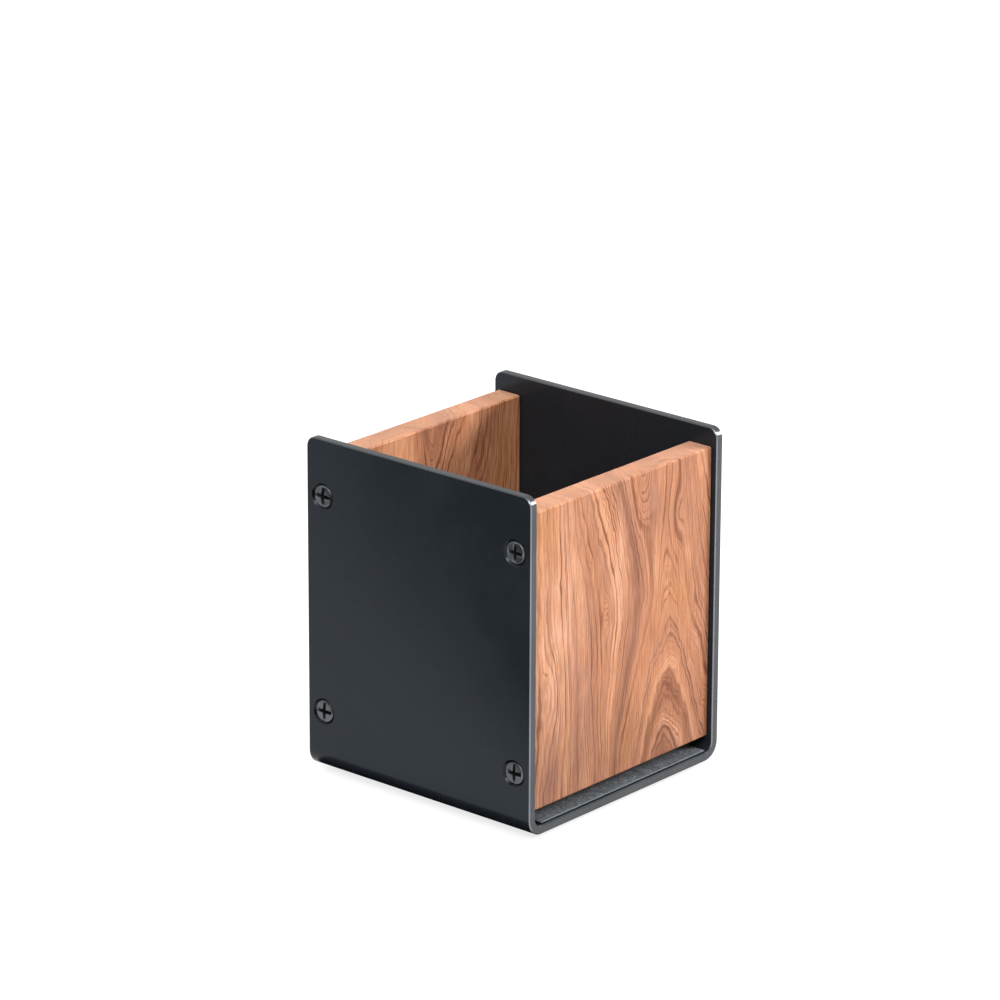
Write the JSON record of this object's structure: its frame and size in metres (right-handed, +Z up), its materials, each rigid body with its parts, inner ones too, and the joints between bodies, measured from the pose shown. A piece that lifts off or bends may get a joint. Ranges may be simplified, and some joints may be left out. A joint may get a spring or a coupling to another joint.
{
  "type": "pen holder",
  "caption": "Square desktop pen holder: a folded dark metal channel with wooden end panels screwed between its side plates and a felt-lined floor, open at the top.",
  "frame": {"origin": "centre of the footprint, on the table under the feet", "axes": "+X across the two side plates, +Y from the front panel to the back panel, +Z up"},
  "size_m": [0.08, 0.08, 0.0975],
  "materials": {
    "frame_metal": "black anodised, satin",
    "walnut": "oiled, satin",
    "felt": "grey needle felt",
    "liner_backing": "thin black foam, self-adhesive",
    "screw_steel": "dark nickel",
    "foot_rubber": "matt black"
  },
  "bodies": {
    "root": {"frame": "frame_metal", "front_panel": "walnut", "back_panel": "walnut", "felt_liner": "felt", "liner_backing": "liner_backing", "screw_left_front_bottom": "screw_steel", "screw_left_front_top": "screw_steel", "screw_left_back_bottom": "screw_steel", "screw_left_back_top": "screw_steel", "screw_right_front_bottom": "screw_steel", "screw_right_front_top": "screw_steel", "screw_right_back_bottom": "screw_steel", "screw_right_back_top": "screw_steel", "foot_front_left": "foot_rubber", "foot_front_right": "foot_rubber", "foot_back_left": "foot_rubber", "foot_back_right": "foot_rubber"}
  },
  "joints": []
}
